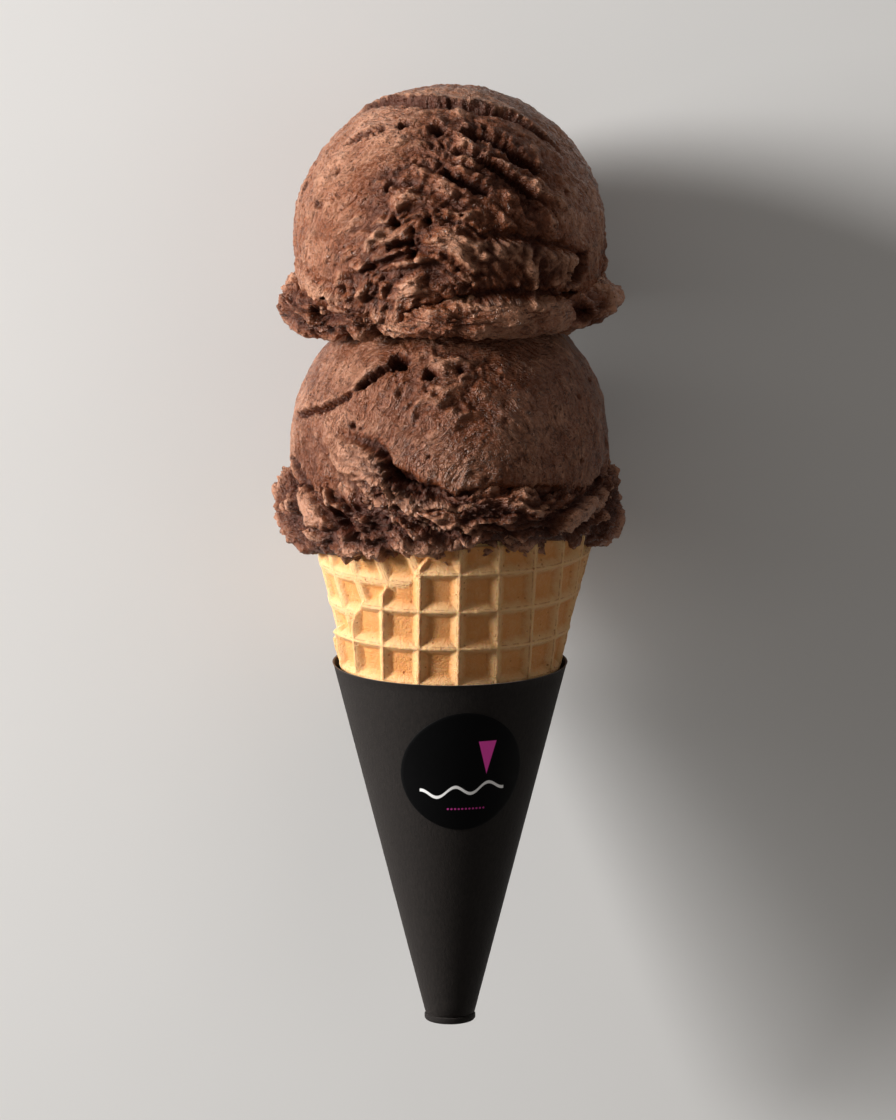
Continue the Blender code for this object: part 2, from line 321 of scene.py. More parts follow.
def turnedMesh(name, radii, heights, angles, loop=True):
    # Rows of the outline by columns of angles; an outline that isn't a loop ends on the axis.
    rows, columns = radii.shape
    points = onAxis(radii, angles, heights)
    index = np.arange(rows * columns).reshape(rows, columns)
    beside = np.roll(index, -1, axis=1)
    last = rows if loop else rows - 1
    below = np.roll(index, -1, axis=0)[:last]
    belowBeside = np.roll(beside, -1, axis=0)[:last]
    quads = np.stack([index[:last], below, belowBeside, beside[:last]], axis=-1).reshape(-1, 4)
    mesh = bpy.data.meshes.new(name)
    faces = quads.tolist()
    if not loop:
        faces.append(index[0].tolist())
        faces.append(index[-1][::-1].tolist())
    mesh.from_pydata(points.tolist(), [], faces)
    mesh.update()
    return mesh


def finished(piece, slotName, *nodes):
    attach(piece, "root")
    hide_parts(*nodes)


def plainPiece(name, mesh, finish, sharpAngle):
    piece = bpy.data.objects.new(name, mesh)
    bpy.context.scene.collection.objects.link(piece)
    mesh.materials.append(finish)
    mesh.shade_smooth()
    mesh.set_sharp_from_angle(angle=math.radians(sharpAngle))
    return piece


# Gashes: torn lines and pockets in the ice cream. Each has the points of its line, its width and
# depth, and the height of the lip above it.

def smoothLine(corners, spacing=0.4):
    # A Catmull-Rom line through the corners, in millimetres.
    corners = np.asarray(corners, dtype=float)
    if len(corners) == 1:
        return corners, np.zeros(1)
    ends = np.concatenate([[2 * corners[0] - corners[1]], corners, [2 * corners[-1] - corners[-2]]])
    line = []
    for before, start, stop, after in zip(ends, ends[1:], ends[2:], ends[3:]):
        count = max(int(np.linalg.norm(stop - start) / spacing), 2)
        t = np.linspace(0.0, 1.0, count, endpoint=False)[:, None]
        line.append(0.5 * (2 * start + (stop - before) * t
                           + (2 * before - 5 * start + 4 * stop - after) * t ** 2
                           + (3 * start - before - 3 * stop + after) * t ** 3))
    line = np.concatenate(line + [corners[-1:]])
    return line, np.linspace(-1.0, 1.0, len(line))


def markGashes(mesh, points, gashes):
    # Stores on the mesh how far each point is from the nearest gash, and that gash's sizes.
    rows = []
    for corners, width, depth, lip in gashes:
        line, along = smoothLine(corners)
        taper = np.sqrt(np.clip(1.0 - np.abs(along) ** 3, 0.0, 1.0)) * 0.8 + 0.2
        for spot, share in zip(line, taper):
            rows.append((*spot, width * share, depth * share, lip))
    rows = np.array(rows)
    tree = kdtree.KDTree(len(rows))
    for number, row in enumerate(rows):
        tree.insert(row[:3], number)
    tree.balance()
    nearest = np.array([tree.find(point)[1:] for point in points])
    found = rows[nearest[:, 0].astype(int)]
    addValues(mesh, "gashAway", nearest[:, 1])
    addValues(mesh, "gashWidth", found[:, 3])
    addValues(mesh, "gashDepth", found[:, 4])
    addValues(mesh, "gashLip", found[:, 5] * np.sign(points[:, 1] - found[:, 1]).clip(0.0, 1.0))


def gashRelief(tree, where):
    away = attribute(tree, "gashAway")
    crumbs = cells(tree, where, 1.5)[0]
    ragged = away + noise(tree, where, 1.3, 2.0, 0.6) * 1.8 + (0.45 - crumbs) * 0.7
    width = attribute(tree, "gashWidth")
    bridged = (noise(tree, where, 2.2) + 0.5).smooth(0.3, 0.42)
    bridged = bridged.calc("MAXIMUM", width.calc("GREATER_THAN", 1.2))
    hollow = ragged.smooth(width, width * 0.35) * attribute(tree, "gashDepth") * bridged
    # Painted shade: the slit and its walls are drawn darker in colour, standing in for the shade inside
    # it.
    paintedShade = ragged.smooth(width + 0.2, width * 0.75) * bridged
    beyond = (away - width * 1.5) / 0.9
    lip = (beyond * beyond * -1.0).calc("EXPONENT") * attribute(tree, "gashLip")
    return lip * (1.7 - crumbs * 1.6) - hollow, paintedShade


def markShelf(mesh, name, turn, rise, radius, shelf):
    # How far each point lies below the shelf's edge, and how much of the shelf there is there.
    corners = np.array(shelf["edge"], dtype=float)
    edge = np.interp(turn, corners[:, 0], corners[:, 1], period=360.0)
    side = -1.0 if "cap" in shelf else 1.0
    addValues(mesh, name + "Below", np.radians(edge - rise) * radius * side)
    start, stop = shelf["span"]
    ahead = (turn - start) % 360.0
    ends = np.clip(ahead / shelf.get("start", 12.0), 0.0, 1.0)
    ends = ends * np.clip((stop - start - ahead) / 9.0, 0.0, 1.0)
    addValues(mesh, name + "Share", ends)


def shelfRelief(tree, name, where, shelf):
    below = attribute(tree, name + "Below")
    crumbs = cells(tree, where, 1.9)[0]
    ragged = below + noise(tree, where, 2.6, 3.0, 0.6) * 2.6 + (0.45 - crumbs) * 1.2
    step = ragged.smooth(-0.5, 0.35) * shelf["height"]
    step = step * below.smooth(shelf["length"], shelf["length"] * 0.2)
    crevice = ((ragged + 1.3) / shelf["gap"]).calc("POWER", 2.0) * -1.0
    crevice = crevice.calc("EXPONENT") * shelf["depth"]
    share = attribute(tree, name + "Share")
    # Painted shade: the crevice below the shelf's edge is drawn darker in colour.
    paintedShade = (crevice * share).smooth(0.5, 1.5)
    # Under a cap, a band just below its edge is drawn darker instead: painted shade where the cap
    # overhangs.
    if "cap" in shelf:
        paintedShade = ragged.smooth(-1.8, -1.2) * ragged.smooth(0.75, 0.45) * share
    return (step - crevice) * share, ragged, paintedShade


# Ice cream: the two balls

def direction(angle, rise):
    turn = math.radians(angle)
    up = math.radians(rise)
    return np.array([math.sin(turn) * math.cos(up), math.sin(up), math.cos(turn) * math.cos(up)])


def zone(tree, away, angle, rise, inner, outer):
    # 1 within the inner angle of a direction and 0 past the outer one, in degrees.
    aim = vectorCalc(tree, "DOT_PRODUCT", away, tuple(direction(angle, rise)))
    return aim.smooth(math.cos(math.radians(outer)), math.cos(math.radians(inner)))


# A ball is cut flat at its top and bottom heights, and isn't where those lie past its ends.
upperBall = {
    "centre": 159.0,
    "radius": 31.2,
    "bottom": 146.3,
    "top": 500.0,
    "seed": (7.0, 2.0, 5.0),
    "flowPole": (-11.0, -22.0),
    "streaks": 1.0,
    "roughness": 1.0,
    "roughZones": [(-10, 14, 12, 40), (18, -2, 14, 38), (-30, -10, 10, 28), (8, 44, 8, 26),
                   (30, 30, 6, 26), (170, 5, 12, 50), (-140, -15, 10, 30), (100, -10, 8, 30)],
    "shelves": [
        {"edge": [(-180, 40), (-140, 48), (-97, 56), (-78, 66), (-39, 71), (3, 70), (32, 66), (50, 59),
                  (59, 48), (75, 22)],
         "cap": True, "span": (-103, 66), "height": 0.5, "length": 14.0, "gap": 1.0, "depth": 1.4},
        {"edge": [(-24, -29), (-17, -22), (0, -18), (17, -13.5), (35, -15), (50, -18), (58, -20),
                  (68, -28)],
         "span": (-24, 68), "height": 1.9, "length": 60.0, "gap": 1.1, "depth": 1.8},
        {"edge": [(0, 8), (10, 8.5), (29, 7), (48, 1), (62, -4)],
         "span": (0, 62), "height": 1.3, "length": 7.5, "gap": 0.9, "depth": 1.2},
        {"edge": [(-74, -6), (-60, -12), (-44, -16), (-36, -24)],
         "span": (-74, -36), "height": 0.8, "length": 12.0, "gap": 0.8, "depth": 0.9},
        {"edge": [(100, -8), (130, 0), (165, -6), (195, -14)],
         "span": (96, 196), "height": 1.4, "length": 12.0, "gap": 1.0, "depth": 1.4},
    ],
    "gashes": [
        ([(-97, 53), (-78, 63), (-39, 68), (3, 67), (32, 63), (50, 56), (59, 45)], 1.35, 3.2, 0.3),
        ([(-62, 42), (-46, 50), (-40, 51)], 0.9, 1.6, 0.3),
        ([(-33, 53), (-26, 55)], 1.3, 2.6, 0.3),
        ([(-13, 54), (-3, 54)], 1.5, 3.0, 0.3),
        ([(8, 53), (26, 47), (34, 40), (43, 32)], 1.7, 4.0, 0.8),
        ([(15, 40), (25, 33), (37, 23)], 1.3, 3.4, 0.6),
        ([(-4, 35), (5, 31), (17, 26)], 1.5, 3.6, 0.3),
        ([(-23, 15), (-19, 14)], 1.2, 2.6, 0.3),
        ([(-10, 16), (-7, 15)], 1.1, 2.6, 0.3),
        ([(-24, 4), (-17, 7), (-11, 5)], 1.1, 2.2, 0.3),
        ([(-35, -5), (-24, 0), (-12, 5)], 0.9, 1.8, 0.5),
        ([(50, -10), (55, -6), (59, 0)], 2.7, 5.0, 0.2),
        ([(-57, -16), (-54, -22), (-50, -28)], 2.6, 4.0, 0.0),
        ([(53, -14), (55, -20), (57, -27)], 2.6, 5.0, 0.0),
        ([(-62, 18)], 0.9, 1.8, 0.3),
        ([(-84, 20), (-82, 24)], 0.9, 1.5, 0.3),
        ([(110, 40), (135, 48), (160, 50), (-175, 44)], 0.9, 2.4, 0.5),
        ([(125, 20), (150, 27), (175, 25)], 0.9, 2.0, 0.4),
        ([(-150, 10), (-130, 18), (-112, 14)], 0.8, 1.8, 0.4),
    ],
}

lowerBall = {
    "centre": 118.5,
    "radius": 31.9,
    "bottom": -500.0,
    "top": 146.0,
    "seed": (31.0, 14.0, 3.0),
    "flowPole": (8.0, -5.0),
    "streaks": 0.6,
    "roughness": 0.6,
    "roughZones": [(-4, 34, 8, 26), (-60, -8, 10, 22), (150, 10, 14, 50)],
    "shelves": [
        {"edge": [(-62, 12), (-48, 9), (-41, 8), (-36, 7), (-30, 6.2), (-24, 3.2), (-20, -4),
                  (-7.4, -9.2), (1.5, -12.5), (17.4, -11.6), (41, -13.6), (54, -17), (68, -15), (82, -10)],
         "span": (-50, 88), "height": 2.4, "length": 20.0, "gap": 1.3, "depth": 2.4, "torn": True,
         "start": 26.0},
        {"edge": [(100, -16), (125, -10), (150, -14), (180, -8), (205, -12), (230, -20), (262, -22)],
         "span": (96, 262), "height": 1.5, "length": 22.0, "gap": 1.0, "depth": 1.5},
    ],
    "gashes": [
        ([(-75, 13), (-66, 15), (-56, 18), (-47, 22), (-40, 27)], 0.8, 2.2, 0.4),
        ([(-40, 27), (-34, 33), (-29, 38)], 1.1, 3.0, 0.4),
        ([(-29, 38), (-20, 40)], 2.1, 4.2, 0.4),
        ([(-9, 35)], 1.5, 2.6, 0.3),
        ([(-40, 14), (-36, 14)], 0.9, 1.6, 0.3),
        ([(-24, 1), (-17, -6), (-7, -9)], 1.3, 2.6, 0.3),
        ([(43, -33), (52, -28), (63, -20)], 3.4, 5.0, 0.0),
        ([(-84, -4), (-74, -8), (-62, -16), (-52, -24)], 2.0, 4.0, 0.0),
        ([(120, 20), (140, 28), (165, 26)], 0.8, 2.0, 0.3),
        ([(-160, 30), (-140, 22), (-125, 20)], 0.8, 1.8, 0.3),
    ],
}


def makeBall(name, spec, finish, slotName, node):
    mesh = ballMesh(name, ballDensity)
    points = pointsOf(mesh)
    turn = np.degrees(np.arctan2(points[:, 0], points[:, 2]))
    rise = np.degrees(np.arcsin(np.clip(points[:, 1], -1.0, 1.0)))
    for number, shelf in enumerate(spec["shelves"]):
        markShelf(mesh, "shelf" + str(number), turn, rise, spec["radius"], shelf)
    gashes = [([direction(*spot) * spec["radius"] for spot in line], *sizes)
              for line, *sizes in spec["gashes"]]
    markGashes(mesh, points * spec["radius"], gashes)

    tree, source, size = geometryTree("churnedBall", [
        "Radius", "Centre", "Top", "Bottom", "Rough", "Streaks", "Axis Level", "Foot End"])
    away = Field(tree, tree.nodes.new("GeometryNodeInputPosition").outputs[0])
    where = vectorCalc(tree, "SCALE", away, scale=size["Radius"])
    where = vectorCalc(tree, "ADD", where, spec["seed"])
    rough = None
    for angle, rise, inner, outer in spec["roughZones"]:
        patch = zone(tree, away, angle, rise, inner, outer)
        rough = patch if rough is None else rough.calc("MAXIMUM", patch)
    rough = rough * size["Rough"] * (noise(tree, where, 11.0, 3.0, 0.6) * 2.4 + 0.9)

    # The scoop drags the ice cream in circles round one pole, so its grain is stretched along them.
    pole = Vector(direction(*spec["flowPole"]))
    side = pole.orthogonal().normalized()
    other = pole.cross(side)
    ring = vectorCalc(tree, "DOT_PRODUCT", away, tuple(pole)).calc("ARCCOSINE") * size["Radius"]
    across = vectorCalc(tree, "DOT_PRODUCT", away, tuple(side)) * size["Radius"]
    along = vectorCalc(tree, "DOT_PRODUCT", away, tuple(other)) * size["Radius"]
    ring = ring + noise(tree, where, 9.0, 2.0) * 7.0
    flow = joined(tree, ring, across * 0.25, along * 0.25)
    loose = joined(tree, ring, across * 0.36, along * 0.36)
    turned = Vector(direction(spec["flowPole"][0] + 35.0, spec["flowPole"][1] + 25.0))
    crossRing = vectorCalc(tree, "DOT_PRODUCT", away, tuple(turned)) * size["Radius"]
    crossed = joined(tree, crossRing * 1.1, across * 0.4, along * 0.4)

    broad = noise(tree, where, 15.0, 2.0) * 1.6 + noise(tree, where, 5.5, 2.0) * 0.8
    warped = stirred(tree, where, (1.7, 2.3, 2.0), 2.0)
    grains = cells(tree, warped, 1.5)[0]
    torn = billow(tree, loose, 3.8, 3.0, 0.5, 0.2) * 3.0 + billow(tree, where, 2.6, 2.0, 0.5) * 0.9
    torn = torn + (0.45 - grains) * 0.6 - 1.7
    streaks = billow(tree, flow, 2.3, 3.0, 0.6, 0.3) * 0.6
    streaks = (streaks + billow(tree, crossed, 1.8, 2.0, 0.6, 0.5) * 0.4) * size["Streaks"]

    relief = broad + streaks - 0.4 + noise(tree, where, 1.4, 3.0, 0.6) * 0.4
    clusters = noise(tree, where, 8.0, 2.0).smooth(-0.12, 0.14)
    holes = pits(tree, where, 3.0, 0.4, 0.95) * clusters
    holes = holes.calc("MAXIMUM", pits(tree, warped, 1.9, 0.3, 0.6) * (clusters * 0.6 + 0.3))
    relief = relief - holes * 1.2
    fine = torn * rough - pits(tree, warped, 4.8, 0.35, 1.5) * rough * 2.4
    relief = relief + fine
    hidden = None
    for number, shelf in enumerate(spec["shelves"]):
        step, ragged, crevice = shelfRelief(tree, "shelf" + str(number), where, shelf)
        relief = relief + step
        # crevice and hidden hold the shelves' painted shade, drawn darker in colour.
        hidden = crevice if hidden is None else hidden.calc("MAXIMUM", crevice)
        if "torn" in shelf:
            depth = attribute(tree, "shelf" + str(number) + "Below") + noise(tree, where, 5.0, 2.0) * 4.0
            braid = joined(tree, depth, across * 0.3, along * 0.3)
            folds = billow(tree, braid, 3.0, 3.0, 0.6, 0.2) * 3.6
            folds = folds + billow(tree, braid, 1.4, 2.0, 0.6) * 1.2 + (0.4 - grains) * 1.2 - 2.0
            folds = folds * ragged.smooth(-0.4, 0.8) * attribute(tree, "shelf" + str(number) + "Share")
            relief = relief + folds
            fine = fine + folds
    gash, paintedGashShade = gashRelief(tree, where)
    relief = relief + gash
    # Painted shade: torn hollows, holes, gashes and shelf crevices are drawn darker in colour.
    paintedCavityShade = (-fine).smooth(0.1, 1.5).calc("MAXIMUM", paintedGashShade).calc("MAXIMUM", holes * 0.9)
    paintedCavityShade = paintedCavityShade.calc("MAXIMUM", hidden)
    relief = relief.calc("MINIMUM", 3.0)

    out = vectorCalc(tree, "SCALE", away, scale=(size["Radius"] + relief) * mm)
    x, y, z = parts(tree, out)
    y = y + size["Centre"] * mm
    y = y.calc("MINIMUM", size["Top"] * mm).calc("MAXIMUM", size["Bottom"] * mm) + size["Foot End"]
    z = z + size["Axis Level"]
    shape = keepAttribute(tree, source.outputs["Geometry"], "relief", relief)
    shape = keepAttribute(tree, shape, "paintedCavityShade", paintedCavityShade)
    shape = keepAttribute(tree, shape, "flow", flow, "FLOAT_VECTOR")
    shape = moveTo(tree, shape, withinBox(tree, x, y, z))
    closeTree(tree, source, shape)

    piece = grown(name, mesh, tree, {
        "Radius": spec["radius"], "Centre": spec["centre"], "Top": spec["top"], "Bottom": spec["bottom"],
        "Rough": spec["roughness"], "Streaks": spec["streaks"], "Axis Level": axisLevel,
        "Foot End": footEnd}, finish)
    print(name, len(piece.data.polygons), "faces")
    finished(piece, slotName, node)


# Ice cream: the torn skirts round the foot of each ball

def upperSkirtShift(angle):
    out = 0.5 * bump(angle, -85.0, 40.0) + 0.3 * bump(angle, 80.0, 34.0)
    out = out - 2.6 * bump(angle, -52.0, 16.0) - 6.0 * bump(angle, -26.0, 26.0)
    out = out - 2.2 * bump(angle, 20.0, 50.0) - 1.6 * bump(angle, 52.0, 16.0)
    out = out - 1.2 * bump(angle, 140.0, 30.0) - 1.4 * bump(angle, -130.0, 26.0)
    drop = 1.6 * bump(angle, -78.0, 46.0) - 0.8 * bump(angle, 20.0, 60.0)
    return out, drop


def lowerSkirtShift(angle):
    out = 0.5 * bump(angle, -82.0, 44.0) + 0.2 * bump(angle, 88.0, 30.0)
    out = out - 1.8 * bump(angle, 62.0, 18.0) - 1.0 * bump(angle, -22.0, 30.0)
    out = out - 1.4 * bump(angle, 125.0, 24.0) - 1.0 * bump(angle, -150.0, 30.0)
    drop = 2.4 - 5.4 * bump(angle, 16.0, 86.0) - 2.0 * bump(angle, 170.0, 80.0)
    return out, drop


upperSkirt = {
    "centre": (27.0, 147.4),
    "size": (7.0, 4.7),
    "shift": upperSkirtShift,
    "seed": (3.0, 9.0, 21.0),
    "torn": 0.9,
    "foldRise": 9.0,
    "foldTurn": 10.0,
    "smoothSpots": [(32, 50, 0.95), (-10, 30, 0.4)],
    "gashes": [
        ([(-58, 32, 150), (-54, 32, 147), (-49, 31, 144)], 2.8, 5.0, 0.3),
        ([(-100, 35, 147)], 1.8, 3.0, 0.3),
        ([(-84, 35, 149), (-80, 35, 145)], 1.2, 2.4, 0.3),
        ([(-68, 35, 148), (-64, 35, 144)], 1.2, 2.4, 0.3),
        ([(53, 33, 152), (55, 33, 148), (57, 33, 144)], 2.7, 5.5, 0.3),
        ([(130, 34, 149), (150, 34, 147)], 1.4, 3.0, 0.3),
        ([(-140, 34, 149), (-125, 34, 146)], 1.6, 3.0, 0.3),
    ],
}

lowerSkirt = {
    "centre": (27.4, 107.5),
    "size": (7.1, 8.1),
    "shift": lowerSkirtShift,
    "seed": (12.0, 44.0, 8.0),
    "torn": 1.15,
    "foldRise": 17.0,
    "foldTurn": 20.0,
    "smoothSpots": [(180, 40, 0.4)],
    "gashes": [
        ([(-80, 33, 116), (-70, 33, 112)], 2.4, 4.5, 0.3),
        ([(-64, 34, 110), (-54, 34, 105)], 2.0, 4.4, 0.3),
        ([(-44, 34, 110), (-36, 34, 105), (-28, 34, 101)], 1.7, 4.0, 0.3),
        ([(-22, 34, 104), (-8, 34, 102), (6, 34, 101.5)], 1.1, 2.6, 0.3),
        ([(-20, 34, 110), (-6, 34, 106.5), (10, 34, 105)], 1.0, 2.4, 0.3),
        ([(20, 34, 104.5), (34, 34, 103.5), (46, 34, 103)], 1.2, 2.6, 0.3),
        ([(44, 33, 101), (52, 34, 103.5), (63, 35, 108)], 3.5, 6.5, 0.3),
        ([(120, 34, 108), (150, 34, 105)], 1.4, 3.0, 0.3),
        ([(-165, 34, 110), (-140, 34, 107), (-120, 34, 104)], 1.4, 3.0, 0.3),
    ],
}


def makeSkirt(name, spec, finish, slotName, node):
    columns = 760
    rows = 122
    angle = np.linspace(0.0, math.tau, columns, endpoint=False)[None, :]
    around = -np.linspace(0.0, math.tau, rows, endpoint=False)[:, None]
    out, drop = spec["shift"](angle)
    radii = spec["centre"][0] + out + spec["size"][0] * np.cos(around)
    rise = np.sin(around)
    heights = spec["centre"][1] + spec["size"][1] * rise - drop * (0.5 - 0.5 * rise)
    mesh = turnedMesh(name, radii, heights + 0.0 * angle, angle + 0.0 * around)
    fold = spec["foldRise"] * (1.0 - np.cos(angle - math.radians(spec["foldTurn"])))
    addValues(mesh, "fold", (spec["size"][1] * rise - fold).reshape(-1))
    addValues(mesh, "foot", (np.clip(-rise * 1.6 - 0.4, 0.0, 1.0) + 0.0 * angle).reshape(-1))
    smoothness = 0.0 * angle + 0.0 * rise
    for degrees, width, share in spec["smoothSpots"]:
        smoothness = np.maximum(smoothness, share * bump(angle, degrees, width))
    addValues(mesh, "calm", smoothness.reshape(-1))
    points = pointsOf(mesh) / mm - np.array([0.0, footEnd / mm, axisLevel / mm])
    gashes = []
    for corners, *sizes in spec["gashes"]:
        line = []
        for degrees, radius, height in corners:
            turned = math.radians(degrees)
            line.append((radius * math.sin(turned), height, radius * math.cos(turned)))
        gashes.append((line, *sizes))
    markGashes(mesh, points, gashes)

    tree, source, size = geometryTree(name + "Tree", ["Torn"])
    spot = Field(tree, tree.nodes.new("GeometryNodeInputPosition").outputs[0])
    normal = Field(tree, tree.nodes.new("GeometryNodeInputNormal").outputs[0])
    where = vectorCalc(tree, "SCALE", spot, scale=1.0 / mm)
    where = vectorCalc(tree, "ADD", where, spec["seed"])

    # Torn ice cream lies in slanting folds, so its grain is stretched along them.
    x, y, z = parts(tree, where)
    fold = attribute(tree, "fold") + noise(tree, where, 7.0, 2.0) * 6.0
    flow = joined(tree, fold, x * 0.2, z * 0.2)
    loose = joined(tree, fold, x * 0.34, z * 0.34)
    warped = stirred(tree, where, (2.1, 2.6, 2.3), 2.6)
    grains = cells(tree, warped, 1.7)[0]
    torn = (noise(tree, where, 12.0, 2.0) * 1.4 + 0.95) * size["Torn"] * (1.0 - attribute(tree, "calm"))
    crag = billow(tree, loose, 4.6, 2.0, 0.55, 0.2) * 4.2 + billow(tree, flow, 2.1, 3.0, 0.6, 0.3) * 1.5
    crag = crag + (0.45 - grains) * 0.9 + billow(tree, where, 1.2, 2.0, 0.6) * 0.35 - 2.5
    relief = noise(tree, where, 9.0, 2.0) * 2.0 + noise(tree, where, 1.1, 3.0, 0.65) * 0.4
    relief = relief + billow(tree, flow, 1.4, 2.0, 0.6) * 0.5
    relief = relief + crag * torn - pits(tree, warped, 4.6, 0.3, 1.5) * torn * 2.2
    gash, paintedGashShade = gashRelief(tree, where)
    relief = relief - pits(tree, where, 1.6, 0.35, 0.5) * 0.4 + gash
    # Painted shade: torn hollows and gashes are drawn darker in colour.
    paintedCavityShade = (-(crag * torn)).smooth(0.2, 1.9).calc("MAXIMUM", paintedGashShade)
    relief = relief.calc("MINIMUM", 1.2).calc("MAXIMUM", attribute(tree, "foot") * 4.6 - 6.0)

    placed = vectorCalc(tree, "ADD", spot, vectorCalc(tree, "SCALE", normal, scale=relief * mm))
    x, y, z = parts(tree, placed)
    shape = keepAttribute(tree, source.outputs["Geometry"], "relief", relief)
    shape = keepAttribute(tree, shape, "paintedCavityShade", paintedCavityShade)
    shape = keepAttribute(tree, shape, "flow", flow, "FLOAT_VECTOR")
    shape = moveTo(tree, shape, withinBox(tree, x, y, z))
    closeTree(tree, source, shape)
    piece = grown(name, mesh, tree, {"Torn": spec["torn"]}, finish)
    print(name, len(piece.data.polygons), "faces")
    finished(piece, slotName, node)


# Waffle cone

wafer = {
    "pitch": 7.95,
    "rowPitch": 7.85,
    "firstRow": 97.1,
    "gridTurn": 4.0,
    "frontColumns": 4.0,
    "columns": 21.0,
    "depth": 1.3,
    "crest": 0.3,
    "wall": 1.45,
    "layer": 1.05,
    "radiusAtSleeve": 22.3,
    "flare": 0.2475,
    "innerRow": 94.5,
    "innerColumn": 21.5,
    "innerLean": 0.42,
    "rim": 104.0,
    "thickness": 2.4,
    "edge": ((-124.0, 72.0), (-68.0, 81.5), (-50.0, 85.0), (-42.0, 89.6), (-26.0, 92.4),
             (-16.5, 94.0), (-13.0, 97.0), (-7.0, 101.0), (-3.0, 106.0)),
}


def waferRadius(height):
    return wafer["radiusAtSleeve"] + wafer["flare"] * (height - sleeveTop)


def makeWafer(finish):
    columns = 720
    angle = np.linspace(0.0, math.tau, columns, endpoint=False)[None, :]
    shown = np.linspace(wafer["rim"], sleeveTop - 2.5, 118)
    hidden = np.linspace(sleeveTop - 6.0, 3.2, 8)
    outer = [(waferRadius(h), h) for h in np.concatenate([shown, hidden])]
    tip = [(waferRadius(2.0) - 0.9, 1.95), (0.6, 1.95)]
    inner = [(0.6, 6.8), (waferRadius(6.8) - wafer["thickness"], 6.8),
             (waferRadius(wafer["rim"]) - wafer["thickness"], wafer["rim"])]
    outline = np.array(inner + outer + tip)
    radii = outline[:, :1] + 0.0 * angle
    heights = outline[:, 1:] + 0.0 * angle
    mesh = turnedMesh("wafer", radii, heights, angle + 0.0 * radii, loop=True)
    turn = np.broadcast_to(angle, radii.shape).reshape(-1)
    turn = np.where(turn > math.pi, turn - math.tau, turn)
    addValues(mesh, "turn", turn)
    addValues(mesh, "height", heights.reshape(-1))
    outside = np.zeros(len(outline))
    outside[len(inner):len(inner) + len(shown)] = 1.0
    addValues(mesh, "outside", (outside[:, None] + 0.0 * angle).reshape(-1))
    corners = np.array(wafer["edge"])
    edge = np.interp(np.degrees(turn), corners[:, 0], corners[:, 1], left=60.0, right=120.0)
    addValues(mesh, "edge", edge)

    tree, source, size = geometryTree("waffleGrid", [
        "Pitch", "Row Pitch", "First Row", "Grid Turn", "Front Columns", "Columns", "Pit Depth",
        "Crest", "Pit Wall", "Layer"])
    spot = Field(tree, tree.nodes.new("GeometryNodeInputPosition").outputs[0])
    normal = Field(tree, tree.nodes.new("GeometryNodeInputNormal").outputs[0])
    where = vectorCalc(tree, "SCALE", spot, scale=1.0 / mm)
    turn = attribute(tree, "turn")
    height = attribute(tree, "height")
    outside = attribute(tree, "outside")
    radius = (height - sleeveTop) * wafer["flare"] + wafer["radiusAtSleeve"]

    # Columns run parallel over the front, and close up on each other round the back.
    off = turn - size["Grid Turn"]
    off = off - (off / math.tau).calc("ROUND") * math.tau
    spread = off.calc("ABSOLUTE")
    step = size["Pitch"] / radius
    front = spread / step
    backShare = (spread - size["Front Columns"] * step) / (math.pi - size["Front Columns"] * step)
    back = size["Front Columns"] + backShare * (size["Columns"] * 0.5 - size["Front Columns"])
    isBack = front.calc("GREATER_THAN", size["Front Columns"])
    column = front * (1.0 - isBack) + back * isBack
    backPitch = radius * (math.pi - size["Front Columns"] * step) / (
        size["Columns"] * 0.5 - size["Front Columns"])
    pitch = size["Pitch"] * (1.0 - isBack) + backPitch * isBack
    fromColumn = (column - column.calc("ROUND")).calc("ABSOLUTE") * pitch
    row = (height - size["First Row"]) / size["Row Pitch"]
    fromRow = (row - row.calc("ROUND")).calc("ABSOLUTE") * size["Row Pitch"]

    # Under the outer layer's edge the inner layer shows, with its grid turned.
    aboveRow = height - wafer["innerRow"]
    innerA = (turn * radius + wafer["innerColumn"] + aboveRow * wafer["innerLean"]) / size["Pitch"]
    innerB = aboveRow / size["Row Pitch"]
    innerFromA = (innerA - innerA.calc("ROUND")).calc("ABSOLUTE") * size["Pitch"]
    innerFromB = (innerB - innerB.calc("ROUND")).calc("ABSOLUTE") * size["Row Pitch"]

    ragged = noise(tree, where, 2.2, 2.0) * 2.2
    scallop = fromColumn.smooth(2.6, 0.4) * 1.1
    overEdge = height - attribute(tree, "edge") + ragged - scallop
    under = overEdge.smooth(-0.1, 0.35)
    wobble = noise(tree, where, 3.0, 2.0) * 0.5
    nearest = fromColumn.calc("MINIMUM", fromRow) + wobble * 0.4
    innerNearest = innerFromA.calc("MINIMUM", innerFromB) + wobble * 0.5
    pit = ((nearest - size["Crest"]) / size["Pit Wall"]).calc("MAXIMUM", 0.0).calc("MINIMUM", 1.0)
    innerPit = innerNearest.smooth(size["Crest"] + 0.2, size["Crest"] + size["Pit Wall"] + 0.4)
    crestLine = nearest.smooth(0.42, 0.12) * (noise(tree, where, 1.4, 2.0) * 0.5 + 0.14)
    outerRelief = crestLine - pit * size["Pit Depth"] * (noise(tree, where, 9.0) * 0.5 + 1.0)
    innerRelief = -size["Layer"] - innerPit * size["Pit Depth"] * 0.75
    relief = outerRelief * (1.0 - under) + innerRelief * under
    pores = pits(tree, where, 1.5, 0.3, 0.32) * (pit * 0.7 + 0.3)
    relief = relief - pores * 0.22 + noise(tree, where, 1.2, 3.0, 0.6) * 0.1
    relief = relief + noise(tree, where, 14.0) * 0.5 - 0.12
    relief = (relief * outside).calc("MINIMUM", 0.12) - height.smooth(102.0, 103.2) * outside * 1.3

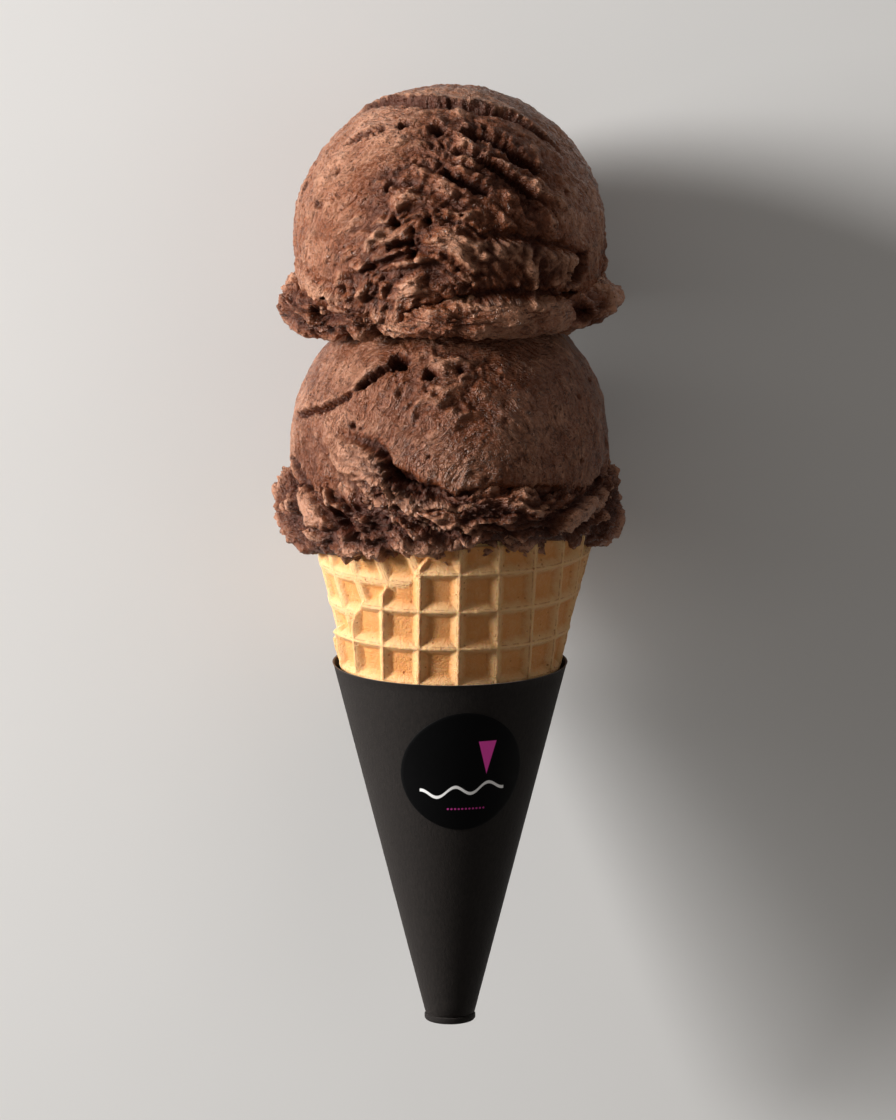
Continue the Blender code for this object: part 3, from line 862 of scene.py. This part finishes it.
    placed = vectorCalc(tree, "ADD", spot, vectorCalc(tree, "SCALE", normal, scale=relief * mm))
    shape = source.outputs["Geometry"]
    shape = keepAttribute(tree, shape, "pit", pit * (1.0 - under) + innerPit * under)
    shape = keepAttribute(tree, shape, "crest", nearest * (1.0 - under) + innerNearest * under)
    shape = moveTo(tree, shape, placed)
    closeTree(tree, source, shape)
    piece = grown("wafer", mesh, tree, {
        "Pitch": wafer["pitch"], "Row Pitch": wafer["rowPitch"], "First Row": wafer["firstRow"],
        "Grid Turn": math.radians(wafer["gridTurn"]), "Front Columns": wafer["frontColumns"],
        "Columns": wafer["columns"], "Pit Depth": wafer["depth"], "Crest": wafer["crest"],
        "Pit Wall": wafer["wall"], "Layer": wafer["layer"]}, finish)
    print("wafer", len(piece.data.polygons), "faces")
    finished(piece, "wafer", "waffle_cone")


# Paper sleeve, its foot and the label

sleeve = {
    "flare": 0.2546,
    "wall": 0.46,
    "bottom": 1.6,
    "inset": 0.22,
    "lap": 0.2,
    "shade": (0.0105, 0.0082, 0.0070),
}
footSizes = {
    "radius": 5.15,
    "top": 1.3,
    "rounding": 0.6,
    "shade": (0.0095, 0.0074, 0.0063),
}
label = {
    "height": 55.6,
    "turn": 8.3,
    "width": 23.9,
    "length": 25.1,
    "lift": 0.06,
    "thickness": 0.16,
}


def sleeveRadiusAt(height):
    return sleeveRadius + sleeve["flare"] * (height - sleeveTop)


def makeSleeve(finish):
    angle = np.linspace(0.0, math.tau, 192, endpoint=False)[None, :]
    levels = np.linspace(sleeveTop - 0.12, sleeve["bottom"] + 0.1, 40)
    outer = [(sleeveRadiusAt(h), h) for h in levels]
    lowEdge = [(sleeveRadiusAt(sleeve["bottom"]) - 0.1, sleeve["bottom"]),
               (sleeveRadiusAt(sleeve["bottom"]) - sleeve["wall"] + 0.1, sleeve["bottom"])]
    inner = [(sleeveRadiusAt(h) - sleeve["wall"], h) for h in levels[::-1]]
    topEdge = [(sleeveRadiusAt(sleeveTop) - sleeve["wall"] + 0.1, sleeveTop),
               (sleeveRadiusAt(sleeveTop) - 0.1, sleeveTop)]
    outline = np.array(outer + lowEdge + inner + topEdge)
    radii = outline[:, :1] + 0.0 * angle
    # The card laps over itself at the back.
    lap = sleeve["lap"] * np.clip((np.degrees(angle) - 176.0) / 3.0, 0.0, 1.0)
    lap = lap * np.clip((200.0 - np.degrees(angle)) / 0.8, 0.0, 1.0)
    isOuter = (np.arange(len(outline)) < len(outer) + 1)[:, None]
    radii = radii + (lap - sleeve["inset"]) * isOuter
    mesh = turnedMesh("sleeve", radii, outline[:, 1:] + 0.0 * angle, angle + 0.0 * radii)
    finished(plainPiece("sleeve", mesh, finish, 50.0), "sleeve_paper", "paper_sleeve")


def makeFoot(finish):
    angle = np.linspace(0.0, math.tau, 128, endpoint=False)[None, :]
    bend = np.radians(np.linspace(0.0, -90.0, 8))
    rounding = footSizes["rounding"]
    outline = [(0.05, footSizes["top"]), (footSizes["radius"] - 0.15, footSizes["top"]),
               (footSizes["radius"], footSizes["top"] - 0.15)]
    start = footSizes["radius"] - rounding
    outline += [(start + rounding * math.cos(b), rounding + rounding * math.sin(b)) for b in bend]
    outline += [(4.1, 0.0), (3.9, 0.15), (0.05, 0.15)]
    outline = np.array(outline)
    radii = outline[:, :1] + 0.0 * angle
    mesh = turnedMesh("foot", radii, outline[:, 1:] + 0.0 * angle, angle + 0.0 * radii, loop=False)
    finished(plainPiece("foot", mesh, finish, 40.0), "foot_paper", "sleeve_foot")


def makeLabel(finish):
    # Round as seen from straight in front of it, wrapped onto the sleeve.
    rings = np.array([0.0001] + list(np.linspace(0.04, 0.993, 24)) + [1.0])
    around = np.linspace(0.0, math.tau, 96, endpoint=False)
    flatX = 0.5 * label["width"] * rings[:, None] * np.cos(around)[None, :]
    flatY = 0.5 * label["length"] * rings[:, None] * np.sin(around)[None, :]
    height = label["height"] + flatY
    surface = sleeveRadiusAt(height) - sleeve["inset"] + label["lift"]
    turned = np.arcsin(flatX / surface) + math.radians(label["turn"])
    rounding = 0.05 * (np.arange(len(rings)) == len(rings) - 1)[:, None]
    radii = np.concatenate([surface + label["thickness"] - rounding, surface[::-1]])
    heights = np.concatenate([height, height[::-1]])
    mesh = turnedMesh("label", radii, heights, np.concatenate([turned, turned[::-1]]), loop=False)
    addValues(mesh, "flatX", np.concatenate([flatX, flatX[::-1]]).reshape(-1))
    addValues(mesh, "flatY", np.concatenate([flatY, flatY[::-1]]).reshape(-1))
    finished(plainPiece("label", mesh, finish, 50.0), "label_film", "round_label")


# Finishes

def finishTree(name):
    surface = bpy.data.materials.new(name)
    surface.use_nodes = True
    tree = surface.node_tree
    shader = tree.nodes["Principled BSDF"]
    where = tree.nodes.new("ShaderNodeTexCoord")
    where = vectorCalc(tree, "SCALE", Field(tree, where.outputs["Object"]), scale=1.0 / mm)
    return surface, tree, shader, where


def shaderAttribute(tree, name):
    node = tree.nodes.new("ShaderNodeAttribute")
    node.attribute_name = name
    return Field(tree, node.outputs["Fac"])


def blended(tree, share, first, second):
    node = tree.nodes.new("ShaderNodeMix")
    node.data_type = "RGBA"
    plug(tree, share, node.inputs[0])
    for colour, slot in ((first, node.inputs[6]), (second, node.inputs[7])):
        plug(tree, colour if isinstance(colour, Field) else (*colour, 1.0), slot)
    return Field(tree, node.outputs[2])


def bumped(tree, shader, height, distance):
    node = tree.nodes.new("ShaderNodeBump")
    node.inputs["Strength"].default_value = 1.0
    node.inputs["Distance"].default_value = distance * mm
    plug(tree, height, node.inputs["Height"])
    tree.links.new(node.outputs[0], shader.inputs["Normal"])
    tree.links.new(node.outputs[0], shader.inputs["Coat Normal"])


# For each ice cream: a pale colour, laid on raised relief partly as painted light; a mid colour; and a
# dark colour, laid in hollows as painted shade.
creams = {
    "upperIceCream": ((0.41, 0.19, 0.108), (0.19, 0.053, 0.018), (0.045, 0.007, 0.002)),
    "lowerIceCream": ((0.38, 0.172, 0.098), (0.150, 0.040, 0.013), (0.04, 0.006, 0.002)),
}


def setSockets(shader, values):
    for name, value in values.items():
        shader.inputs[name].default_value = value


def iceCreamFinish(name):
    pale, mid, paintedShadeColour = creams[name]
    surface, tree, shader, where = finishTree(name)
    relief = shaderAttribute(tree, "relief")
    paintedCavityShade = shaderAttribute(tree, "paintedCavityShade")
    flow = tree.nodes.new("ShaderNodeAttribute")
    flow.attribute_name = "flow"
    flow = Field(tree, flow.outputs["Vector"])
    patches = noise(tree, where, 7.0, 3.0, 0.6)
    specks = noise(tree, where, 0.6, 3.0, 0.7)
    strokes = noise(tree, flow, 0.8, 3.0, 0.65, 0.5)

    # Short scratches where the scoop dragged it, and pinholes, which are also drawn darker below as
    # painted shade in them.
    swirled = vectorCalc(tree, "MULTIPLY", where, (0.75, 1.0, 0.75))
    scratch = noise(tree, swirled, 1.5, 1.0, 0.5, 1.2).calc("ABSOLUTE").smooth(0.03, 0.008)
    scratch = scratch * noise(tree, where, 1.3, 2.0, 0.6).smooth(-0.03, 0.08)
    drag = noise(tree, flow, 0.5, 1.0, 0.5, 0.5).calc("ABSOLUTE").smooth(0.03, 0.006)
    scratch = scratch.calc("MAXIMUM", drag * noise(tree, where, 1.8, 2.0).smooth(0.0, 0.1))
    pinholes = pits(tree, where, 1.7, 0.5, 0.6).calc("MAXIMUM", pits(tree, where, 0.9, 0.4, 0.3))
    marks = (scratch * 0.8).calc("MAXIMUM", pinholes)

    # Paler on raised relief and at random: partly the ice cream's own tone, partly painted light on the
    # crests.
    toneAndCrestLight = (relief + patches * 2.0 + specks * 1.6 + strokes * 1.6).smooth(-0.8, 0.8)
    # Painted shade: low relief, hollows, gashes, scratches and pinholes are drawn in the dark colour.
    paintedSunkShade = (relief + specks).smooth(-0.9, -2.8).calc("MAXIMUM", paintedCavityShade * 0.9)
    paintedSunkShade = paintedSunkShade.calc("MAXIMUM", marks * 0.8)
    colour = blended(tree, toneAndCrestLight, mid, pale)
    colour = blended(tree, paintedSunkShade, colour, paintedShadeColour)
    plug(tree, colour, shader.inputs["Base Color"])
    plug(tree, specks * 0.3 + patches * 0.3 + paintedSunkShade * 0.15 + 0.31, shader.inputs["Roughness"])
    plug(tree, 0.35 - paintedCavityShade * 0.35, shader.inputs["Coat Weight"])
    setSockets(shader, {
        "Specular IOR Level": 0.36,
        "Specular Tint": (1.0, 0.86, 0.74, 1.0),
        "Coat Roughness": 0.24,
        "Coat IOR": 1.4,
        "Subsurface Weight": 0.04,
        "Subsurface Radius": (1.0, 0.45, 0.25),
        "Subsurface Scale": 0.001,
    })
    bumped(tree, shader, strokes * 1.5 + specks * 0.6 - marks * 0.5, 0.8)
    return surface


def waferFinish():
    surface, tree, shader, where = finishTree("bakedWafer")
    pit = shaderAttribute(tree, "pit")
    crest = shaderAttribute(tree, "crest")
    grain = noise(tree, where, 0.45, 4.0, 0.7)
    flecks = noise(tree, where, 1.1, 3.0, 0.65)
    blotch = noise(tree, where, 5.0, 3.0, 0.6)
    # Darker and more orange in the pits: partly the wafer's baked tone, partly painted shade on the pit
    # floors.
    toastAndPitShade = (pit + blotch * 1.1 + flecks * 1.0 + grain * 0.8).smooth(-0.1, 1.3)
    colour = blended(tree, toastAndPitShade, (0.70, 0.42, 0.19), (0.62, 0.255, 0.07))
    # Painted shade: a dark broken line in the crease at the foot of each crest.
    paintedCreaseShade = (crest - 0.36).calc("ABSOLUTE").smooth(0.13, 0.04) * flecks.smooth(-0.1, 0.12)
    specks = pits(tree, where, 1.5, 0.5, 0.42).calc("MAXIMUM", pits(tree, where, 0.8, 0.45, 0.22) * 0.7)
    colour = blended(tree, (specks * 0.75).calc("MAXIMUM", paintedCreaseShade * 0.55), colour, (0.32, 0.10, 0.025))
    colour = blended(tree, grain.smooth(0.1, 0.28) * 0.4, colour, (0.80, 0.56, 0.32))
    plug(tree, colour, shader.inputs["Base Color"])
    plug(tree, grain * 0.4 + 0.58, shader.inputs["Roughness"])
    setSockets(shader, {
        "Specular IOR Level": 0.3,
        "Subsurface Weight": 0.3,
        "Subsurface Radius": (1.0, 0.36, 0.10),
        "Subsurface Scale": 0.0012,
    })
    bumped(tree, shader, grain * 1.2 + flecks * 0.8 - specks * 0.5 - paintedCreaseShade * 0.3, 0.3)
    return surface


def paperFinish(name, shade):
    surface, tree, shader, where = finishTree(name)
    felt = noise(tree, where, 0.35, 3.0, 0.75)
    fibres = noise(tree, vectorCalc(tree, "MULTIPLY", where, (1.0, 0.3, 1.0)), 0.5, 2.0, 0.6)
    tone = (felt + fibres).smooth(-0.4, 0.5)
    colour = blended(tree, tone, tuple(0.75 * c for c in shade), tuple(1.5 * c for c in shade))
    cutEdge = parts(tree, where)[1].smooth(sleeveBox[1].y / mm - 0.16, sleeveBox[1].y / mm - 0.08)
    plug(tree, blended(tree, cutEdge, colour, (0.11, 0.088, 0.075)), shader.inputs["Base Color"])
    plug(tree, felt * 0.2 + 0.72, shader.inputs["Roughness"])
    setSockets(shader, {
        "Specular IOR Level": 0.14,
        "Sheen Weight": 0.045,
        "Sheen Roughness": 0.4,
        "Sheen Tint": (1.0, 0.88, 0.8, 1.0),
    })
    bumped(tree, shader, felt + fibres * 0.6, 0.09)
    return surface


def labelFinish():
    # Black film printed with a plain wave, a dotted line and a pink wedge.
    surface, tree, shader, where = finishTree("blackFilm")
    x = shaderAttribute(tree, "flatX")
    y = shaderAttribute(tree, "flatY")
    wave = (y + 4.0 - x * 0.12 + (x * 0.95).calc("SINE") * 0.9).calc("ABSOLUTE")
    stroke = wave.smooth(0.38, 0.26) * x.calc("ABSOLUTE").smooth(8.4, 8.2)
    beads = (x * 1.4 - (x * 1.4).calc("ROUND")) / 1.4
    beads = vectorCalc(tree, "LENGTH", joined(tree, beads, y + 8.0, 0.0)).smooth(0.24, 0.18)
    beads = beads * (x - 0.6).calc("ABSOLUTE").smooth(3.9, 3.8)
    wedge = (x - 4.6).calc("ABSOLUTE") - (y + 0.6) * 0.26
    wedge = wedge.smooth(0.08, -0.08) * (6.4 - y).smooth(-0.05, 0.1)
    colour = blended(tree, stroke, (0.0015, 0.0015, 0.0016), (0.80, 0.78, 0.76))
    colour = blended(tree, wedge.calc("MAXIMUM", beads * 0.55), colour, (0.78, 0.07, 0.40))
    plug(tree, colour, shader.inputs["Base Color"])
    plug(tree, noise(tree, where, 3.0, 2.0) * 0.1 + 0.5, shader.inputs["Roughness"])
    shader.inputs["Specular IOR Level"].default_value = 0.06
    bumped(tree, shader, noise(tree, where, 2.5, 2.0), 0.03)
    return surface


# Stage: floor, lights and camera

stage = {
    "floor": (0.66, 0.645, 0.625),
    "world": 0.18,
    "worldColour": (1.0, 0.96, 0.92),
    "lights": {
        "keyLight": ((-1.1, 0.40, 0.45), 0.40, 26.0),
        "lowLight": ((-0.95, 0.15, 0.2), 0.3, 7.0),
        "fillLight": ((0.9, 0.2, 1.1), 0.9, 1.3),
    },
    "tilt": 11.0,
    "distance": 1.25,
    "viewWidth": 0.1792,
    "target": (-0.0004, -0.0006, axisLevel),
}


def makeStage():
    bpy.ops.mesh.primitive_plane_add(size=6.0, location=(0.0, 0.0, -0.0002))
    floor = bpy.context.object
    floor.name = "floor"
    surface, tree, shader, where = finishTree("paleFloor")
    grain = noise(tree, where, 40.0, 2.0)
    colour = blended(tree, grain + 0.5, stage["floor"], tuple(0.97 * c for c in stage["floor"]))
    plug(tree, colour, shader.inputs["Base Color"])
    shader.inputs["Roughness"].default_value = 0.8
    floor.data.materials.append(surface)

    for name, (place, width, power) in stage["lights"].items():
        lamp = bpy.data.lights.new(name, "AREA")
        lamp.shape = "DISK"
        lamp.size = width
        lamp.energy = power
        item = bpy.data.objects.new(name, lamp)
        item.location = place
        aim = Vector(stage["target"]) - Vector(place)
        item.rotation_euler = aim.to_track_quat("-Z", "Y").to_euler()
        bpy.context.scene.collection.objects.link(item)

    world = bpy.data.worlds.new("studio")
    bpy.context.scene.world = world
    world.use_nodes = True
    background = world.node_tree.nodes["Background"]
    background.inputs["Color"].default_value = (*stage["worldColour"], 1.0)
    background.inputs["Strength"].default_value = stage["world"]

    camera = bpy.data.cameras.new("camera")
    camera.sensor_fit = "HORIZONTAL"
    camera.sensor_width = 36.0
    camera.lens = 36.0 * stage["distance"] / stage["viewWidth"]
    camera.clip_start = 0.01
    eye = bpy.data.objects.new("camera", camera)
    tilt = math.radians(stage["tilt"])
    away = Vector((0.0, math.sin(tilt), math.cos(tilt)))
    eye.location = Vector(stage["target"]) + stage["distance"] * away
    eye.rotation_euler = (-tilt, 0.0, 0.0)
    bpy.context.scene.collection.objects.link(eye)
    bpy.context.scene.camera = eye
    bpy.context.scene.view_settings.view_transform = "Standard"


makeStage()
print("stage")
upperFinish = iceCreamFinish("upperIceCream")
lowerFinish = iceCreamFinish("lowerIceCream")
makeBall("upperBall", upperBall, upperFinish, "upper_ice_cream", "upper_scoop")
makeSkirt("upperSkirt", upperSkirt, upperFinish, "upper_ice_cream", "upper_scoop")
makeBall("lowerBall", lowerBall, lowerFinish, "lower_ice_cream", "lower_scoop")
makeSkirt("lowerSkirt", lowerSkirt, lowerFinish, "lower_ice_cream", "lower_scoop")
makeWafer(waferFinish())
makeSleeve(paperFinish("sleevePaper", sleeve["shade"]))
makeFoot(paperFinish("footPaper", footSizes["shade"]))
makeLabel(labelFinish())
